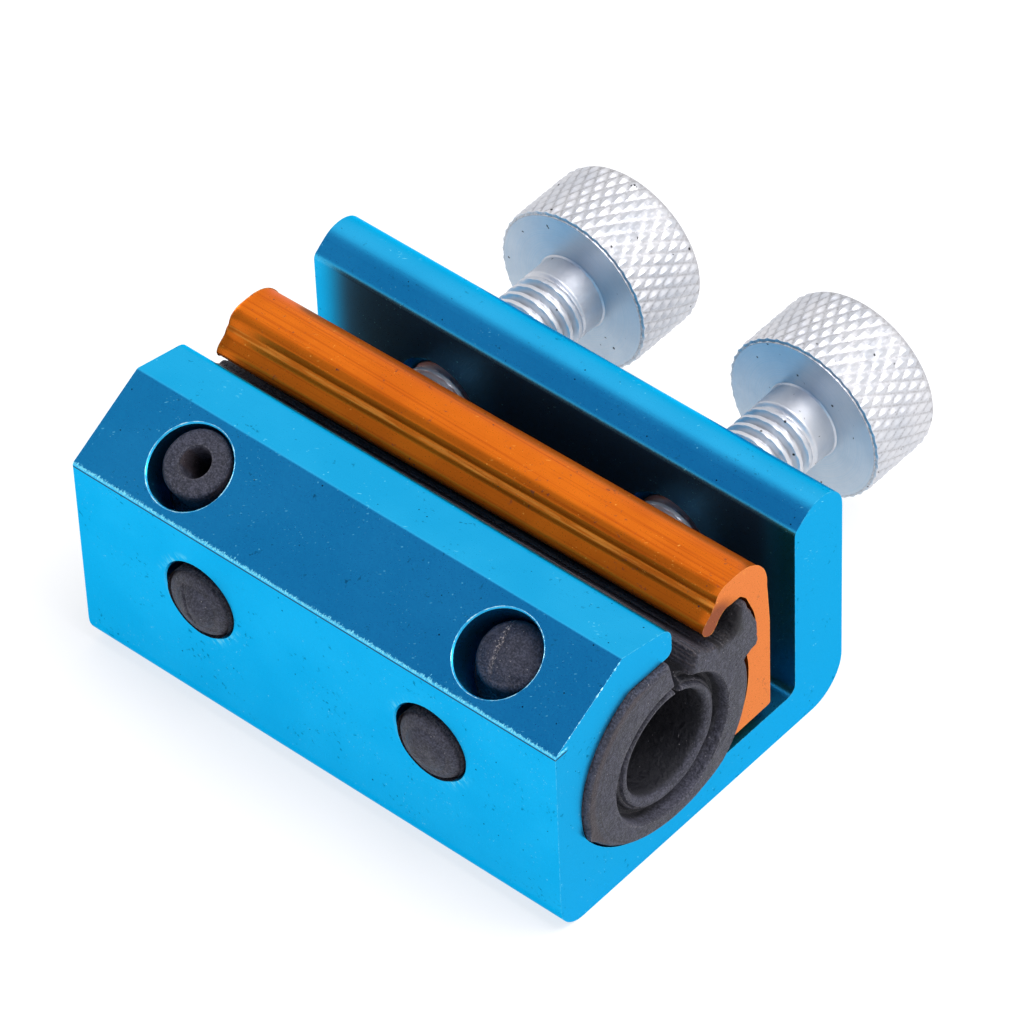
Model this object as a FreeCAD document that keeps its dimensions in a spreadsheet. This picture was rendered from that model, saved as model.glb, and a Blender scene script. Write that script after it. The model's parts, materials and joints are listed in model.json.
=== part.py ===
import FreeCAD, Part
import math
import os

import Sketcher

from FreeCAD import Placement, Rotation, Vector

# Clamp-on cable lubricator.  Millimetres, +Z up, +X along the bore, +Y towards the thumbscrews.
# Every sub-part is drawn with y counted from the block's front face and z from its underside, and is
# placed by "front_face_y", so that the row frame's origin is under the middle of the whole tool.

SIZES = {
    # block: a length of extrusion
    "block_length": 44.0,
    "block_depth": 30.3,
    "front_height": 17.7,
    "slope_run": 7.0,
    "slope_top": 21.6,
    "jaw_tip_y": 12.05,
    "jaw_tip_z": 20.45,
    "jaw_roof_z": 17.9,
    "jaw_tip_round": 1.2,
    "jaw_lip_round": 0.6,
    "wall_face_y": 25.15,
    "wall_edge_z": 19.0,
    "wall_top_y": 27.0,
    "wall_top_z": 20.35,
    "wall_top_blend": 2.4,
    "wall_edge_round": 0.7,
    "wall_outer_round": 2.4,
    "channel_floor": 3.35,
    "channel_round": 0.8,
    "die_edge_round": 0.3,
    "front_foot_round": 2.3,
    "rear_foot_round": 3.3,
    # seat for the sleeve: a round wall down to a corner low at the front, then a flatter round floor
    "seat_y": 11.1,
    "seat_z": 9.9,
    "seat_radius": 8.7,
    "seat_corner_z": 7.3,
    "seat_floor_radius": 10.3,
    "seat_floor_end_y": 16.9,
    "seat_mouth_y": 14.0,
    # ports in the jaw, and the thumbscrew line
    "screw_spread": 10.6,
    "screw_z": 11.5,
    "front_port_radius": 3.15,
    "slope_port_x": 14.0,
    "slope_port_radius": 3.25,
    "port_depth": 6.0,
    "tapped_radius": 3.05,
    "tapped_sink": 0.7,
    "port_rim_break": 0.12,
    # rubber sleeve
    "sleeve_length": 45.0,
    "sleeve_y": 11.3,
    "sleeve_z": 9.7,
    "sleeve_radius": 8.3,
    "sleeve_top": 17.75,
    "sleeve_fit": 0.1,
    "sleeve_heel_z": 3.5,
    "bore_radius": 4.1,
    "mouth_radius": 5.8,
    "mouth_depth": 0.8,
    "front_nub_radius": 2.95,
    "front_nub_proud": 1.0,
    "front_nub_round": 0.7,
    "front_nub_root": 5.5,
    "slope_nub_radius": 2.6,
    "slope_nub_shift": 0.5,
    "open_nub_depth": 0.2,
    "closed_nub_depth": 1.3,
    "slope_nub_root": 6.0,
    "spray_hole_radius": 1.1,
    "spray_hole_depth": 10.0,
    # clamp plate
    "plate_foot_z": 4.6,
    "plate_back_y": 22.35,
    "plate_back_bend_z": 12.9,
    "plate_back_top_y": 21.8,
    "plate_top_z": 20.0,
    "plate_crown_y": 17.6,
    "plate_seat_y": 11.7,
    "plate_seat_radius": 8.45,
    "plate_advance": 0.25,
    "plate_back_round": 3.0,
    "plate_nose_round": 0.4,
    "plate_foot_round": 0.5,
    # thumbscrews, M6 x 1
    "thread_radius": 3.0,
    "screw_tip_y": 22.15,
    "screw_lead": 0.12,
    "tip_chamfer": 0.6,
    "head_face_y": 39.88,
    "head_radius": 6.8,
    "head_length": 6.9,
    "head_round": 1.0,
    "head_edge_break": 0.2,
}

# The split opens upwards into a wedge; beyond it the sleeve is cut low to clear the plate's hook.
SPLIT_OUTLINE = [
    (11.5, 19.0), (12.2, 13.6), (12.2, 12.0), (12.75, 12.0), (12.8, 13.6), (13.4, 14.7),
    (14.1, 16.6), (15.2, 15.9), (16.2, 15.2), (18.6, 15.2), (18.6, 19.0),
]
# The rib stands on the sleeve's rear shoulder and fills the plate's hook.
RIB_OUTLINE = [
    (17.0, 13.0), (17.6, 15.2), (18.4, 15.3), (18.5, 16.6), (18.85, 16.9), (19.35, 16.3),
    (19.85, 15.0), (20.2, 13.9), (20.3, 12.7), (19.9, 12.15), (19.2, 11.8),
]
# The plate's head from its crown: a ridge, a groove, the flat front down to the nose, the nose's underside,
# then the hollow of the hook, which narrows upwards, and the step above the seat.
PLATE_NOSE = (15.45, 18.0)
PLATE_HEAD_OUTLINE = [
    (16.95, 19.75), (16.45, 19.45), (16.35, 19.2), (16.5, 18.85), (16.25, 18.65),
    PLATE_NOSE, (15.3, 17.7), (15.45, 17.2), (15.9, 16.85), (17.0, 17.2), (17.9, 17.75),
    (19.3, 17.75), (19.95, 17.05), (20.75, 15.1), (20.95, 14.2), (20.95, 12.2), (20.4, 11.6),
]
PLATE_SHOULDER = (19.6, 11.6)
PLATE_INNER_FOOT_Y = 17.4

doc = FreeCAD.newDocument("cable_lubricator")
sheet = doc.addObject("Spreadsheet::Sheet", "dims")
for row, (alias, size) in enumerate(SIZES.items(), start=1):
    sheet.set(f"A{row}", alias)
    sheet.set(f"B{row}", str(size))
    sheet.setAlias(f"B{row}", alias)

WORKED_OUT = {
    "head_end_y": "=head_face_y + head_length",
    "front_face_y": "=(front_nub_proud - head_face_y - head_length - screw_lead) / 2",
    "plate_yaw": "=atan(screw_lead / screw_spread) / 1deg",
    "sleeve_seat_radius": "=seat_radius - sleeve_fit",
    "sleeve_corner_z": "=seat_corner_z + sleeve_fit",
    "slope_angle": "=atan((slope_top - front_height) / slope_run) / 1deg",
    "slope_mid_y": "=slope_run / 2",
    "slope_mid_z": "=(front_height + slope_top) / 2",
}
for row, (alias, formula) in enumerate(WORKED_OUT.items(), start=len(SIZES) + 1):
    sheet.set(f"A{row}", alias)
    sheet.set(f"B{row}", formula)
    sheet.setAlias(f"B{row}", alias)
doc.recompute()


# ---------------------------------------------------------------- drawing helpers

def new_body(name):
    """A PartDesign body, shifted so that its local y = 0 is the block's front face."""
    body = doc.addObject("PartDesign::Body", name)
    body.Label = name
    body.setExpression("Placement.Base.y", "dims.front_face_y")
    return body


def new_sketch(body, name, plane, offset=None, tilt=None):
    """A sketch on one of the body's origin planes; offset and tilt are expressions in its axes."""
    sketch = body.newObject("Sketcher::SketchObject", name)
    support = next(f for f in body.Origin.OriginFeatures if f.Role == plane)
    sketch.AttachmentSupport = (support, [""])
    sketch.MapMode = "FlatFace"
    if tilt:
        sketch.AttachmentOffset = Placement(Vector(), Rotation(Vector(1, 0, 0), 1.0))
        sketch.setExpression("AttachmentOffset.Rotation.Angle", tilt)
    for axis, expression in (offset or {}).items():
        sketch.setExpression(f"AttachmentOffset.Base.{axis}", expression)
    return sketch


def value(expression):
    """The number that an expression in the sheet's aliases gives, to draw the sketch near its final shape."""
    if isinstance(expression, (int, float)):
        return float(expression)
    return float(sheet.evalExpression(expression.replace("dims.", "")))


def pin(sketch, kind, geometry, point, coordinate):
    """Holds one coordinate of a sketch point, by a number or by an expression in the sheet."""
    size = value(coordinate)
    index = sketch.addConstraint(Sketcher.Constraint(kind, -1, 1, geometry, point, size))
    if isinstance(coordinate, str):
        sketch.setExpression(f"Constraints[{index}]", coordinate)


def polygon(sketch, corners):
    """A closed outline of straight lines, every corner held by its two coordinates."""
    spots = [Vector(value(u), value(v), 0) for u, v in corners]
    count = len(spots)
    for i, spot in enumerate(spots):
        sketch.addGeometry(Part.LineSegment(spot, spots[(i + 1) % count]), False)
    for i in range(count):
        following = (i + 1) % count
        sketch.addConstraint(Sketcher.Constraint("Coincident", i, 2, following, 1))
    for i, (u, v) in enumerate(corners):
        pin(sketch, "DistanceX", i, 1, u)
        pin(sketch, "DistanceY", i, 1, v)


def circle(sketch, u, v, radius):
    """A circle held by its centre and radius."""
    centre = Vector(value(u), value(v), 0)
    index = sketch.addGeometry(Part.Circle(centre, Vector(0, 0, 1), value(radius)), False)
    pin(sketch, "DistanceX", index, 3, u)
    pin(sketch, "DistanceY", index, 3, v)
    hold_radius(sketch, index, radius)


def hold_radius(sketch, geometry, radius):
    index = sketch.addConstraint(Sketcher.Constraint("Radius", geometry, value(radius)))
    sketch.setExpression(f"Constraints[{index}]", radius)


def round_wall(sketch, centre, radius, from_z, to_z, side):
    """An arc between two heights on a circle; side is -1 for its front half and +1 for its rear half.

    Arcs run anticlockwise, so a front one goes down and a rear one goes up.  Returns its index and ends.
    """
    middle = Vector(value(centre[0]), value(centre[1]), 0)
    size = value(radius)
    angles = []
    for height in (from_z, to_z):
        rise = math.asin((value(height) - middle.y) / size)
        angles.append(rise if side > 0 else math.pi - rise)
    full = Part.Circle(middle, Vector(0, 0, 1), size)
    index = sketch.addGeometry(Part.ArcOfCircle(full, angles[0], angles[1]), False)
    pin(sketch, "DistanceX", index, 3, centre[0])
    pin(sketch, "DistanceY", index, 3, centre[1])
    hold_radius(sketch, index, radius)
    pin(sketch, "DistanceY", index, 1, from_z)
    pin(sketch, "DistanceY", index, 2, to_z)
    ends = [middle + Vector(size * math.cos(a), size * math.sin(a), 0) for a in angles]
    return index, ends


def sagging_arc(sketch, start, end, radius):
    """An arc from start to end that hangs below the line between them."""
    size = value(radius)
    chord = end - start
    along = chord * (1 / chord.Length)
    up = Vector(-along.y, along.x, 0)
    height = math.sqrt(size ** 2 - (chord.Length / 2) ** 2)
    middle = (start + end) * 0.5 + up * height
    angles = [math.atan2(p.y - middle.y, p.x - middle.x) for p in (start, end)]
    full = Part.Circle(middle, Vector(0, 0, 1), size)
    index = sketch.addGeometry(Part.ArcOfCircle(full, angles[0], angles[1]), False)
    hold_radius(sketch, index, radius)
    return index


def line(sketch, start, end):
    return sketch.addGeometry(Part.LineSegment(start, end), False)


def join(sketch, first, first_point, second, second_point):
    sketch.addConstraint(Sketcher.Constraint("Coincident", first, first_point, second, second_point))


def pad(body, name, sketch, length, both_ways=False, reverse=False):
    feature = body.newObject("PartDesign::Pad", name)
    feature.Profile = sketch
    feature.setExpression("Length", length)
    feature.Midplane = both_ways
    feature.Reversed = reverse
    doc.recompute()
    return feature


def pocket(body, name, sketch, length, both_ways=False, reverse=False):
    """Cuts the sketch away, and insists that material was removed."""
    before = body.Shape.Volume
    feature = body.newObject("PartDesign::Pocket", name)
    feature.Profile = sketch
    feature.setExpression("Length", length)
    feature.Midplane = both_ways
    feature.Reversed = reverse
    doc.recompute()
    if body.Shape.Volume >= before:
        raise RuntimeError(f"{name} cuts nothing")
    return feature


def edges_where(body, test):
    """Names of the edges whose middle point and length pass a test."""
    names = []
    for i, edge in enumerate(body.Tip.Shape.Edges, start=1):
        middle = edge.valueAt((edge.FirstParameter + edge.LastParameter) / 2)
        if test(edge, middle):
            names.append(f"Edge{i}")
    if not names:
        raise RuntimeError(f"no edge found on {body.Label}")
    return names


def long_edge(y, z):
    """Picks the straight edge that runs along X at the given y and z."""
    def test(edge, middle):
        close = abs(middle.y - value(y)) < 0.02 and abs(middle.z - value(z)) < 0.02
        return close and abs(middle.x) < 0.1 and edge.Length > value("block_length") / 2
    return test


def fillet(body, name, test, radius):
    base, edges = body.Tip, edges_where(body, test)
    feature = body.newObject("PartDesign::Fillet", name)
    feature.Base = (base, edges)
    feature.setExpression("Radius", radius)
    doc.recompute()


def chamfer(body, name, test, size):
    base, edges = body.Tip, edges_where(body, test)
    feature = body.newObject("PartDesign::Chamfer", name)
    feature.Base = (base, edges)
    feature.setExpression("Size", size)
    doc.recompute()


# ---------------------------------------------------------------- block

def make_block():
    """Extruded block: jaw with a sloped face, round seat, channel and rear wall."""
    body = new_body("body_block")
    section = new_sketch(body, "block_section", "YZ_Plane")
    polygon(section, [
        (0.0, 0.0),
        ("dims.block_depth", 0.0),
        ("dims.block_depth", "dims.wall_top_z"),
        ("dims.wall_top_y", "dims.wall_top_z"),
        ("dims.wall_face_y", "dims.wall_edge_z"),
        ("dims.wall_face_y", "dims.channel_floor"),
        ("dims.jaw_tip_y", "dims.channel_floor"),
        ("dims.jaw_tip_y", "dims.jaw_tip_z"),
        ("dims.slope_run", "dims.slope_top"),
        (0.0, "dims.front_height"),
    ])
    pad(body, "block_extrusion", section, "dims.block_length", both_ways=True)

    fillet(body, "front_foot", long_edge(0.0, 0.0), "dims.front_foot_round")
    fillet(body, "rear_foot", long_edge("block_depth", 0.0), "dims.rear_foot_round")
    fillet(body, "wall_outer", long_edge("block_depth", "wall_top_z"), "dims.wall_outer_round")
    fillet(body, "wall_blend", long_edge("wall_top_y", "wall_top_z"), "dims.wall_top_blend")
    fillet(body, "wall_edge", long_edge("wall_face_y", "wall_edge_z"), "dims.wall_edge_round")
    fillet(body, "channel_corner", long_edge("wall_face_y", "channel_floor"), "dims.channel_round")
    fillet(body, "front_edge", long_edge(0.0, "front_height"), "dims.die_edge_round")
    fillet(body, "slope_edge", long_edge("slope_run", "slope_top"), "dims.die_edge_round")

    seat = new_sketch(body, "seat_section", "YZ_Plane")
    wall, wall_ends = round_wall(seat, ("dims.seat_y", "dims.seat_z"), "dims.seat_radius",
                                 "dims.jaw_roof_z", "dims.seat_corner_z", -1)
    floor_end = Vector(value("seat_floor_end_y"), value("channel_floor"), 0)
    mouth = Vector(value("seat_mouth_y"), value("jaw_roof_z"), 0)
    floor = sagging_arc(seat, wall_ends[1], floor_end, "dims.seat_floor_radius")
    rise = line(seat, floor_end, mouth)
    roof = line(seat, mouth, wall_ends[0])
    join(seat, wall, 2, floor, 1)
    join(seat, floor, 2, rise, 1)
    join(seat, rise, 2, roof, 1)
    join(seat, roof, 2, wall, 1)
    pin(seat, "DistanceX", rise, 1, "dims.seat_floor_end_y")
    pin(seat, "DistanceY", rise, 1, "dims.channel_floor")
    pin(seat, "DistanceX", rise, 2, "dims.seat_mouth_y")
    pin(seat, "DistanceY", rise, 2, "dims.jaw_roof_z")
    pocket(body, "seat", seat, "dims.block_length + 2", both_ways=True)
    fillet(body, "jaw_tip", long_edge("jaw_tip_y", "jaw_tip_z"), "dims.jaw_tip_round")
    fillet(body, "jaw_lip", long_edge("jaw_tip_y", "jaw_roof_z"), "dims.jaw_lip_round")

    # the front ports and the tapped holes share their axes
    ports = new_sketch(body, "front_port_rings", "XZ_Plane")
    circle(ports, "-dims.screw_spread", "dims.screw_z", "dims.front_port_radius")
    circle(ports, "dims.screw_spread", "dims.screw_z", "dims.front_port_radius")
    pocket(body, "front_ports", ports, "dims.port_depth")
    taps = new_sketch(body, "tapped_rings", "XZ_Plane", offset={"z": "-dims.wall_face_y + 1"})
    circle(taps, "-dims.screw_spread", "dims.screw_z", "dims.tapped_radius")
    circle(taps, "dims.screw_spread", "dims.screw_z", "dims.tapped_radius")
    pocket(body, "tapped_holes", taps, "dims.block_depth - dims.wall_face_y + 2")

    def tapped_rim(edge, middle):
        round_edge = isinstance(edge.Curve, Part.Circle)
        on_wall = middle.y > value("wall_face_y") - 0.01
        return round_edge and on_wall and abs(edge.Curve.Radius - value("tapped_radius")) < 0.01
    chamfer(body, "tapped_sinks", tapped_rim, "dims.tapped_sink")

    # the two spray ports stand square to the sloped face
    slope = new_sketch(body, "slope_port_rings", "XY_Plane", tilt="dims.slope_angle",
                       offset={"y": "dims.slope_mid_y", "z": "dims.slope_mid_z"})
    circle(slope, "-dims.slope_port_x", 0.0, "dims.slope_port_radius")
    circle(slope, "dims.slope_port_x", 0.0, "dims.slope_port_radius")
    pocket(body, "slope_ports", slope, "dims.port_depth")

    def port_rim(edge, middle):
        round_edge = isinstance(edge.Curve, Part.Circle)
        sizes = (value("front_port_radius"), value("slope_port_radius"))
        return round_edge and any(abs(edge.Curve.Radius - size) < 0.01 for size in sizes)
    chamfer(body, "port_rims", port_rim, "dims.port_rim_break")
    return body


# ---------------------------------------------------------------- rubber sleeve

def make_sleeve():
    """Split rubber sleeve with a hooking rib, stepped ends and four nubs."""
    body = new_body("rubber_sleeve")
    section = new_sketch(body, "sleeve_section", "YZ_Plane")
    front, front_ends = round_wall(section, ("dims.seat_y", "dims.seat_z"), "dims.sleeve_seat_radius",
                                   "dims.sleeve_top", "dims.sleeve_corner_z", -1)
    rear, rear_ends = round_wall(section, ("dims.sleeve_y", "dims.sleeve_z"), "dims.sleeve_radius",
                                 "dims.sleeve_heel_z", "dims.sleeve_top", 1)
    belly = sagging_arc(section, front_ends[1], rear_ends[0], "dims.seat_floor_radius")
    top = line(section, rear_ends[1], front_ends[0])
    join(section, front, 2, belly, 1)
    join(section, belly, 2, rear, 1)
    join(section, rear, 2, top, 1)
    join(section, top, 2, front, 1)
    pad(body, "sleeve_blank", section, "dims.sleeve_length", both_ways=True)

    split = new_sketch(body, "split_section", "YZ_Plane")
    polygon(split, SPLIT_OUTLINE)
    pocket(body, "split", split, "dims.sleeve_length + 2", both_ways=True)

    rib = new_sketch(body, "rib_section", "YZ_Plane")
    polygon(rib, RIB_OUTLINE)
    pad(body, "rib", rib, "dims.sleeve_length", both_ways=True)

    nubs = new_sketch(body, "front_nub_rings", "XZ_Plane", offset={"z": "dims.front_nub_proud"})
    circle(nubs, "-dims.screw_spread", "dims.screw_z", "dims.front_nub_radius")
    circle(nubs, "dims.screw_spread", "dims.screw_z", "dims.front_nub_radius")
    pad(body, "front_nubs", nubs, "dims.front_nub_root + dims.front_nub_proud", reverse=True)

    def nub_rim(edge, middle):
        return isinstance(edge.Curve, Part.Circle) and middle.y < -value("front_nub_proud") + 0.01
    fillet(body, "front_nub_domes", nub_rim, "dims.front_nub_round")

    def slope_sketch(name):
        return new_sketch(body, name, "XY_Plane", tilt="dims.slope_angle",
                          offset={"y": "dims.slope_mid_y", "z": "dims.slope_mid_z"})

    for name, x, depth in (("open_nub", "-dims.slope_port_x", "open_nub_depth"),
                           ("closed_nub", "dims.slope_port_x", "closed_nub_depth")):
        ring = slope_sketch(f"{name}_ring")
        circle(ring, x, "dims.slope_nub_shift", "dims.slope_nub_radius")
        pad(body, name, ring, "dims.slope_nub_root", reverse=True)
        # trims the nub down to its depth below the sloped face
        trim = slope_sketch(f"{name}_trim_ring")
        circle(trim, x, "dims.slope_nub_shift", "dims.slope_port_radius")
        pocket(body, f"{name}_trim", trim, f"dims.{depth}")

    bore = new_sketch(body, "bore_ring", "YZ_Plane")
    circle(bore, "dims.sleeve_y", "dims.sleeve_z", "dims.bore_radius")
    pocket(body, "bore", bore, "dims.sleeve_length + 2", both_ways=True)
    for name, x, reverse in (("bore_end_mouth", "dims.sleeve_length / 2", False),
                             ("far_end_mouth", "-dims.sleeve_length / 2", True)):
        ring = new_sketch(body, f"{name}_ring", "YZ_Plane", offset={"z": x})
        circle(ring, "dims.sleeve_y", "dims.sleeve_z", "dims.mouth_radius")
        pocket(body, name, ring, "dims.mouth_depth", reverse=reverse)

    straw = slope_sketch("spray_hole_ring")
    circle(straw, "-dims.slope_port_x", "dims.slope_nub_shift", "dims.spray_hole_radius")
    pocket(body, "spray_hole", straw, "dims.spray_hole_depth")
    return body


# ---------------------------------------------------------------- clamp plate

def make_plate():
    """Extruded plate with a ridged, hooked head and a hollow face that bears on the sleeve."""
    body = new_body("clamp_plate")
    # one screw is further in than the other, so the plate stands a little askew about its back's middle
    body.Placement = Placement(Vector(), Rotation(Vector(0, 0, 1), 1.0))
    body.setExpression("Placement.Rotation.Angle", "dims.plate_yaw")
    body.setExpression("Placement.Base.x", "dims.plate_back_y * sin(dims.plate_yaw * 1deg)")
    body.setExpression("Placement.Base.y", "dims.front_face_y - dims.plate_advance"
                       " + dims.plate_back_y * (1 - cos(dims.plate_yaw * 1deg))")
    section = new_sketch(body, "plate_section", "YZ_Plane")
    polygon(section, [
        (PLATE_INNER_FOOT_Y, "dims.plate_foot_z"),
        ("dims.plate_back_y", "dims.plate_foot_z"),
        ("dims.plate_back_y", "dims.plate_back_bend_z"),
        ("dims.plate_back_top_y", "dims.plate_top_z"),
        ("dims.plate_crown_y", "dims.plate_top_z"),
        *PLATE_HEAD_OUTLINE,
        PLATE_SHOULDER,
    ])
    pad(body, "plate_extrusion", section, "dims.block_length", both_ways=True)
    hollow = new_sketch(body, "plate_seat_section", "YZ_Plane")
    circle(hollow, "dims.plate_seat_y", "dims.sleeve_z", "dims.plate_seat_radius")
    pocket(body, "plate_seat", hollow, "dims.block_length + 2", both_ways=True)
    fillet(body, "plate_back", long_edge("plate_back_top_y", "plate_top_z"), "dims.plate_back_round")
    fillet(body, "plate_crown", long_edge("plate_crown_y", "plate_top_z"), "dims.plate_nose_round")
    fillet(body, "plate_nose_top", long_edge(*PLATE_NOSE), "dims.plate_nose_round")
    fillet(body, "plate_foot", long_edge("plate_back_y", "plate_foot_z"), "dims.plate_foot_round")
    return body


# ---------------------------------------------------------------- thumbscrews

def make_thumbscrew(name, side):
    """One-piece M6 thumbscrew; its plain shank stands for the thread."""
    body = new_body(name)
    body.setExpression("Placement.Base.x", f"{side} * dims.screw_spread")
    body.setExpression("Placement.Base.y", f"dims.front_face_y + {side} * dims.screw_lead")
    body.setExpression("Placement.Base.z", "dims.screw_z")
    half = new_sketch(body, f"{name}_half_section", "XY_Plane")
    polygon(half, [
        (0.0, "dims.screw_tip_y"),
        ("dims.thread_radius - dims.tip_chamfer", "dims.screw_tip_y"),
        ("dims.thread_radius", "dims.screw_tip_y + dims.tip_chamfer"),
        ("dims.thread_radius", "dims.head_face_y"),
        ("dims.head_radius - dims.head_edge_break", "dims.head_face_y"),
        ("dims.head_radius", "dims.head_face_y + dims.head_edge_break"),
        ("dims.head_radius", "dims.head_end_y"),
        (0.0, "dims.head_end_y"),
    ])
    turned = body.newObject("PartDesign::Revolution", f"{name}_turning")
    turned.Profile = half
    turned.ReferenceAxis = (half, ["V_Axis"])
    turned.Angle = 360.0
    doc.recompute()

    def outer_rim(edge, middle):
        big = edge.Length > math.pi * value("head_radius")
        return big and abs(middle.y - value("head_end_y")) < 0.01
    fillet(body, f"{name}_head_round", outer_rim, "dims.head_round")
    return body


def check(document, bodies):
    for item in document.Objects:
        if "Invalid" in item.State or "Error" in item.State:
            raise RuntimeError(f"{item.Name} failed to compute: {item.State}")
    for body in bodies:
        shape = body.Shape
        if shape.isNull() or not shape.isValid() or len(shape.Solids) != 1:
            raise RuntimeError(f"{body.Label} is not one valid solid")


parts = [
    make_block(),
    make_sleeve(),
    make_plate(),
    make_thumbscrew("thumbscrew_left", -1),
    make_thumbscrew("thumbscrew_right", 1),
]
doc.recompute()
check(doc, parts)
os.makedirs("parts", exist_ok=True)
for part in parts:
    part.Shape.exportStep(f"parts/{part.Label}.step")
    print(part.Label, round(part.Shape.Volume, 1), part.Shape.BoundBox)
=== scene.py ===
import json
import math
import random

import bmesh
import bpy
from mathutils import Euler, Matrix, Vector, noise


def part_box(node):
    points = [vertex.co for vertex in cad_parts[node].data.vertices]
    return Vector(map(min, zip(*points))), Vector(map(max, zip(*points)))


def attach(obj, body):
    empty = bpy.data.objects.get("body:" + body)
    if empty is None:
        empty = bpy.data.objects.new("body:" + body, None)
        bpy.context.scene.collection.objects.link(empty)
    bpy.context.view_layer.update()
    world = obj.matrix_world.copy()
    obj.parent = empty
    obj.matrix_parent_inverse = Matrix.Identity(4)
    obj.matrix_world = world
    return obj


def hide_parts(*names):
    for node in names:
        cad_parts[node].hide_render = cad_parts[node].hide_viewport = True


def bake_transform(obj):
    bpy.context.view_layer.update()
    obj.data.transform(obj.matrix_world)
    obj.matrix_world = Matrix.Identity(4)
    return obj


# Clamp-on cable lubricator.  The named sizes and the outlines are in millimetres; an outline's points are
# (y, z), with y counted from the block's front face and z from its underside.  Meshes, lights and the
# distances in materials are in metres, in the row frame.
MM = 0.001

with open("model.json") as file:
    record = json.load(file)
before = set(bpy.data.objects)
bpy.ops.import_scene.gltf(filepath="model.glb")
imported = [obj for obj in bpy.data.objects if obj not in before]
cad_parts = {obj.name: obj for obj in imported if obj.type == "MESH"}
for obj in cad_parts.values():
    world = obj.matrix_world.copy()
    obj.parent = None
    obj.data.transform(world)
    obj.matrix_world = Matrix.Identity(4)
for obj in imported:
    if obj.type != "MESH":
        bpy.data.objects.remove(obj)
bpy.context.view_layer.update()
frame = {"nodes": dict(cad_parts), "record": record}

block_low, block_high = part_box("body_block")
sleeve_end_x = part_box("rubber_sleeve")[1].x
mounts = {mount["name"]: mount for mount in frame["record"]["mounts"]}

# noise vectors would otherwise start from the clock and differ from run to run
noise.seed_set(1)

# ports in the block's jaw
SCREW_SPREAD, SCREW_Z = 10.6, 11.5
SLOPE_PORT_X, SLOPE_PORT_RADIUS = 14.0, 3.25
FRONT_HEIGHT, SLOPE_RUN, SLOPE_TOP = 17.7, 7.0, 21.6
SLOPE_ANGLE = math.atan2(SLOPE_TOP - FRONT_HEIGHT, SLOPE_RUN)

# the wall: just before its inner face, where the round on its edge starts, and just past that round
WALL_NEAR_Y, WALL_ROUND_Z, WALL_FAR_Y = 25.0, 18.2, 26.2

# thumbscrews, taken to be M6 x 1
THREAD_RADIUS, THREAD_PITCH, THREAD_DEPTH = 3.0, 1.0, 0.48
HEAD_RADIUS, HEAD_LENGTH, HEAD_ROUND = 6.8, 6.9, 1.0
COLLAR_LENGTH = 2.0
KNURL_DEPTH, KNURL_AROUND, KNURL_ALONG = 0.2, 43, 4

# rubber sleeve
SEAT_CENTRE, SEAT_RADIUS = (11.1, 9.9), 8.58
BORE_CENTRE, BORE_RADIUS = (11.3, 9.7), 4.1
REAR_RADIUS = 8.28
CUSP_Z, HEEL_Z, FLOOR_RADIUS = 7.42, 3.55, 10.3
MOUTH_CENTRE, MOUTH_RADIUS = (11.4, 9.4), 5.9
FLAT_TOP_Z, FLAP_FOOT_Z = 17.72, 11.5
SHOULDER_START_Y, SHOULDER_LOW_Z = 12.4, 14.2
# its valley under the plate's hook
VALLEY_Y, VALLEY_Z = (16.5, 18.7), (15.2, 17.0)
# where the sleeve starts and stops following the plate
STRETCH_START_Y, STRETCH_END_Y = 12.2, 19.6

# rubber nubs in the ports; the front ones sit a little off their ports' centres
FRONT_NUB_RADIUS, FRONT_NUB_DOME, FRONT_NUB_EDGE, FRONT_NUB_ROOT = 2.86, 0.75, 1.0, 6.2
FRONT_NUB_FACE_Y, FRONT_NUB_OFF = -1.3, 0.14
SLOPE_NUB_RADIUS, SLOPE_NUB_ALONG = 2.6, 0.5
OPEN_NUB_OUT, CLOSED_NUB_OUT = -0.2, -1.2

# clamp plate, which stands a little askew about its back's middle
PLATE_YAW, PLATE_ADVANCE, PLATE_BACK_Y = math.radians(0.65), 0.25, 22.35
PLATE_FOOT_Z, PLATE_SEAT_CENTRE, PLATE_SEAT_RADIUS = 4.6, (11.7, 9.7), 8.45
PLATE_HALF_LENGTH, PLATE_CORNER = 22.0, 0.16
# its nose over the rubber, and the crest of the ridge above
NOSE_CENTRE, CREST_Z = (16.5, 17.3), (18.80, 18.98)


def front(y):
    """Row-frame y of a distance in millimetres behind the block's front face."""
    return block_low.y + y * MM


def on_slope(x, along, out):
    """A point over the sloped face: along runs up the slope from its middle, out stands square to it."""
    up = Vector((0, math.cos(SLOPE_ANGLE), math.sin(SLOPE_ANGLE)))
    square = Vector((0, -math.sin(SLOPE_ANGLE), math.cos(SLOPE_ANGLE)))
    middle = Vector((x * MM, front(SLOPE_RUN / 2), (FRONT_HEIGHT + SLOPE_TOP) / 2 * MM))
    return middle + (up * along + square * out) * MM


# ---------------------------------------------------------------- camera, light, floor

def make_camera():
    """A long lens from the right, in front and above."""
    azimuth, elevation, roll = math.radians(42.499), math.radians(45.316), math.radians(-2.459)
    data = bpy.data.cameras.new("camera")
    data.lens = 247.43
    data.sensor_width = 36.0
    data.clip_start, data.clip_end = 0.01, 10.0
    camera = bpy.data.objects.new("camera", data)
    camera.location = (0.234198, -0.257739, 0.361062)
    look = Euler((math.pi / 2 - elevation, 0, azimuth), "XYZ").to_matrix()
    camera.rotation_euler = (look @ Matrix.Rotation(roll, 3, "Z")).to_euler()
    bpy.context.scene.collection.objects.link(camera)
    bpy.context.scene.camera = camera


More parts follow.
